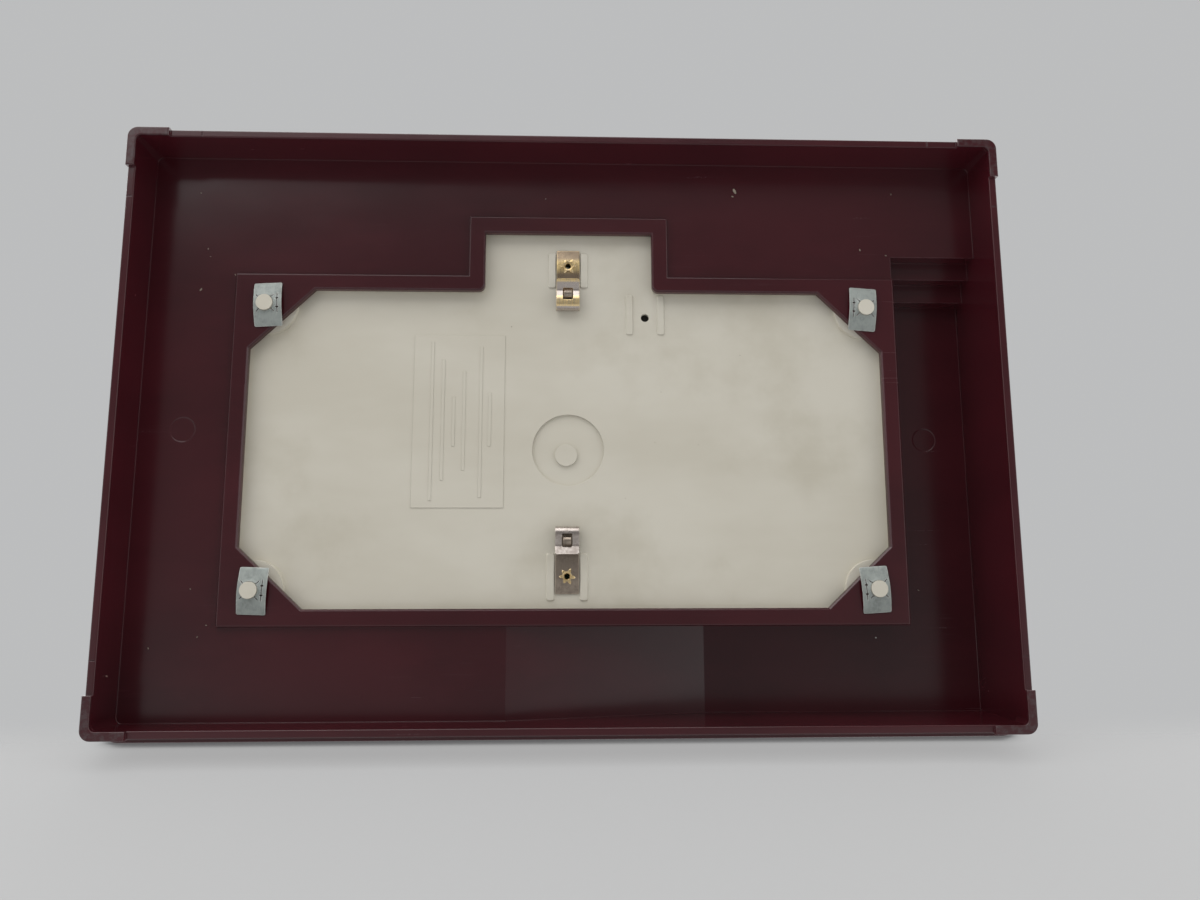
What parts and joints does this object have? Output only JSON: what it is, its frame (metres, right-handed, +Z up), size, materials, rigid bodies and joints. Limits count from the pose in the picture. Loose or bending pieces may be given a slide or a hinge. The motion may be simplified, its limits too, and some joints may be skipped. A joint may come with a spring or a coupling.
{
  "type": "illuminated toy railway station",
  "caption": "Illuminated toy railway station: open-bottomed maroon base with dock, steps and ramp, cream building with bay, lift-off green roof, lamp and spring wire clips.",
  "frame": {"origin": "centre of the base's footprint, at the level of the corner feet", "axes": "+Z up through the building, X along the platform's long side with the stairs and dock at +X, -Y is the track side with the bay window"},
  "size_m": [0.308, 0.2096, 0.165],
  "materials": {
    "maroon_plastic": "glossy moulded polystyrene with flow marks and light handling wear",
    "cream_plastic": "satin cream polystyrene, slightly yellowed",
    "green_plastic": "satin dark green polystyrene",
    "roof_plastic": "satin green polystyrene with shingle courses",
    "brick_plastic": "dull brick red polystyrene",
    "clear_plastic": "frosted translucent sheet",
    "zinc_steel": "zinc-plated spring steel, dull",
    "bronze_strip": "plated phosphor bronze strip, tarnished",
    "brass_parts": "bright brass",
    "steel_parts": "plated steel strip",
    "fibre": "vulcanised fibre",
    "bulb_glass": "clear blown glass",
    "tungsten": "glass bead, support wires and filament",
    "solder": "solder",
    "red_lead": "insulated lead",
    "black_lead": "insulated lead"
  },
  "bodies": {
    "station": {"base_moulding": "maroon_plastic", "station_floor": "cream_plastic", "push_on_retainers": "zinc_steel", "front_terminal_base": "bronze_strip", "rear_terminal_base": "bronze_strip", "terminal_eyelets": "steel_parts", "building_walls": "cream_plastic", "front_doors": "green_plastic", "freight_doors": "green_plastic", "front_windows": "green_plastic", "rear_windows": "green_plastic", "end_windows": "green_plastic", "bay_windows": "green_plastic", "front_glazing": "clear_plastic", "rear_glazing": "clear_plastic", "end_glazing": "clear_plastic", "bay_glazing": "clear_plastic", "eave_brackets": "green_plastic", "lamp_bracket": "steel_parts", "bracket_screw": "steel_parts", "socket_shell": "brass_parts", "socket_insulator": "fibre", "centre_contact": "brass_parts", "contact_spring": "steel_parts", "front_lead": "black_lead", "rear_lead": "red_lead"},
    "bulb": {"bulb_cap": "brass_parts", "bulb_contact": "solder", "bulb_glass": "bulb_glass", "bulb_filament": "tungsten"},
    "roof": {"roof_moulding": "roof_plastic", "bay_gable": "cream_plastic", "chimney": "brick_plastic", "chimney_pot": "brick_plastic", "name_boards": "cream_plastic", "ridge_cap": "roof_plastic"},
    "front_clip_leaf": {"front_terminal_leaf": "bronze_strip"},
    "rear_clip_leaf": {"rear_terminal_leaf": "bronze_strip"}
  },
  "joints": [
    {"name": "roof_lift", "type": "slide", "parent": "station", "child": "roof", "axis": [0, 0, 1], "range_m": [0, 0.12]},
    {"name": "bulb_pull", "type": "slide", "parent": "station", "child": "bulb", "axis": [0, 0, 1], "range_m": [0, 0.022]},
    {"name": "front_clip_press", "type": "hinge", "parent": "station", "child": "front_clip_leaf", "pos_m": [-0.0002, -0.0452, 0.0178], "axis": [1, 0, 0], "range_deg": [-7, 0], "stiffness_Nm_per_rad": 0.05},
    {"name": "rear_clip_press", "type": "hinge", "parent": "station", "child": "rear_clip_leaf", "pos_m": [-0.0002, 0.0362, 0.0178], "axis": [1, 0, 0], "range_deg": [0, 7], "stiffness_Nm_per_rad": 0.05}
  ]
}
